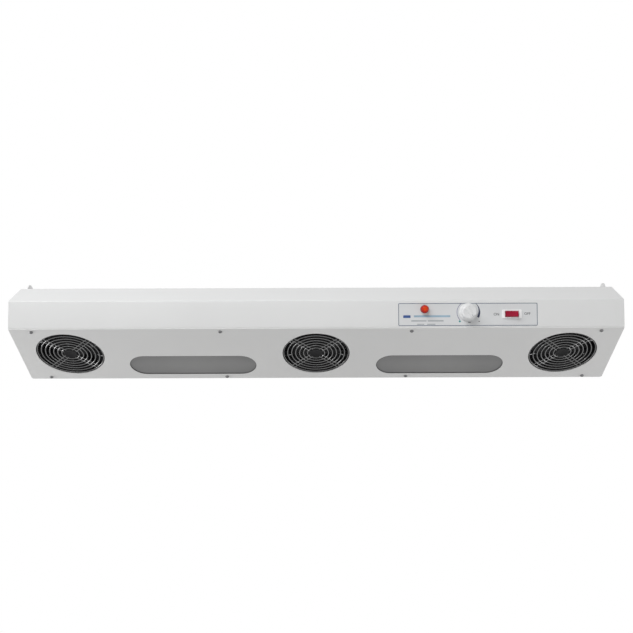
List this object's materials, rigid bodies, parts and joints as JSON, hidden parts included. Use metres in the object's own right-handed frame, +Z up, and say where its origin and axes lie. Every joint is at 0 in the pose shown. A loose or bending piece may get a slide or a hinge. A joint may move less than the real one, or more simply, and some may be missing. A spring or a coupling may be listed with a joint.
{
  "type": "ionizing blower",
  "caption": "Overhead ionizing air blower: long white folded-steel housing with round outlets and lit windows below, a sloping control panel and hanging ears.",
  "frame": {"origin": "in the plane of the underside, at mid length and at the middle of the depth from the front fold to the back", "axes": "+X along the housing to the right as seen from the front, +Y to the back, +Z up"},
  "size_m": [1.05, 0.1927, 0.1324],
  "materials": {
    "white_powder_coat": "satin",
    "white_sheet": "satin",
    "zinc": "satin",
    "dark_screw": "satin",
    "steel": "polished",
    "label_film": "satin",
    "lamp_red": "glossy",
    "rocker_red": "glossy",
    "white_plastic": "glossy",
    "ivory_plastic": "satin",
    "black_plastic": "satin",
    "frosted_grey": "satin",
    "tray_white": "glossy",
    "lamp_glass": "satin",
    "bronze": "satin",
    "copper_winding": "satin",
    "potting_black": "satin",
    "ballast_grey": "satin",
    "board_green": "satin",
    "red_silicone": "satin",
    "blue_pvc": "satin"
  },
  "bodies": {
    "housing": {"housing_shell": "white_powder_coat", "underside_plate": "white_sheet", "end_plate_left": "white_powder_coat", "end_plate_right": "white_powder_coat", "plate_screws": "dark_screw", "end_plate_screws": "dark_screw", "hanging_ear_left": "white_powder_coat", "hanging_ear_right": "white_powder_coat", "ear_bolts": "zinc", "ear_nuts": "zinc", "stud_nuts": "zinc", "panel_label": "label_film", "pilot_lamp_body": "white_plastic", "pilot_lamp_lens": "lamp_red", "potentiometer": "zinc", "potentiometer_nut": "zinc", "switch_body": "white_plastic", "diffuser_left": "frosted_grey", "diffuser_right": "frosted_grey", "lamp_tray_left": "tray_white", "lamp_tray_right": "tray_white", "lamp_tube_left": "lamp_glass", "lamp_tube_right": "lamp_glass", "lamp_holders_left": "ivory_plastic", "lamp_holders_right": "ivory_plastic", "lamp_ballast": "ballast_grey", "high_voltage_module": "potting_black", "speed_control_board": "board_green", "terminal_block": "ivory_plastic", "mains_inlet": "black_plastic", "inlet_screws": "zinc", "high_voltage_cable": "red_silicone", "mains_wiring": "blue_pvc", "emitter_needles": "steel", "finger_guard_left": "black_plastic", "emitter_ring_left": "black_plastic", "fan_frame_left": "black_plastic", "fan_bearings_left": "bronze", "fan_stator_left": "copper_winding", "finger_guard_middle": "black_plastic", "emitter_ring_middle": "black_plastic", "fan_frame_middle": "black_plastic", "fan_bearings_middle": "bronze", "fan_stator_middle": "copper_winding", "finger_guard_right": "black_plastic", "emitter_ring_right": "black_plastic", "fan_frame_right": "black_plastic", "fan_bearings_right": "bronze", "fan_stator_right": "copper_winding"},
    "rotor_left": {"impeller_left": "black_plastic", "fan_shaft_left": "steel"},
    "rotor_middle": {"impeller_middle": "black_plastic", "fan_shaft_middle": "steel"},
    "rotor_right": {"impeller_right": "black_plastic", "fan_shaft_right": "steel"},
    "knob": {"speed_knob": "white_plastic", "knob_shaft": "steel"},
    "rocker": {"switch_rocker": "rocker_red"}
  },
  "joints": [
    {"name": "fan_spin_left", "type": "hinge", "parent": "housing", "child": "rotor_left", "pos_m": [-0.436, 0.013, 0.0362], "axis": [0, 0, 1], "continuous": true},
    {"name": "fan_spin_middle", "type": "hinge", "parent": "housing", "child": "rotor_middle", "pos_m": [0, 0.013, 0.0362], "axis": [0, 0, 1], "continuous": true},
    {"name": "fan_spin_right", "type": "hinge", "parent": "housing", "child": "rotor_right", "pos_m": [0.436, 0.013, 0.0362], "axis": [0, 0, 1], "continuous": true},
    {"name": "knob_turn", "type": "hinge", "parent": "housing", "child": "knob", "pos_m": [0.259, -0.08487, 0.01611], "axis": [0, -0.8123, -0.5832], "range_deg": [-270, 0]},
    {"name": "rocker_tip", "type": "hinge", "parent": "housing", "child": "rocker", "pos_m": [0.3335, -0.0754, 0.0186], "axis": [0, -0.5832, 0.8123], "range_deg": [0, 20]}
  ]
}
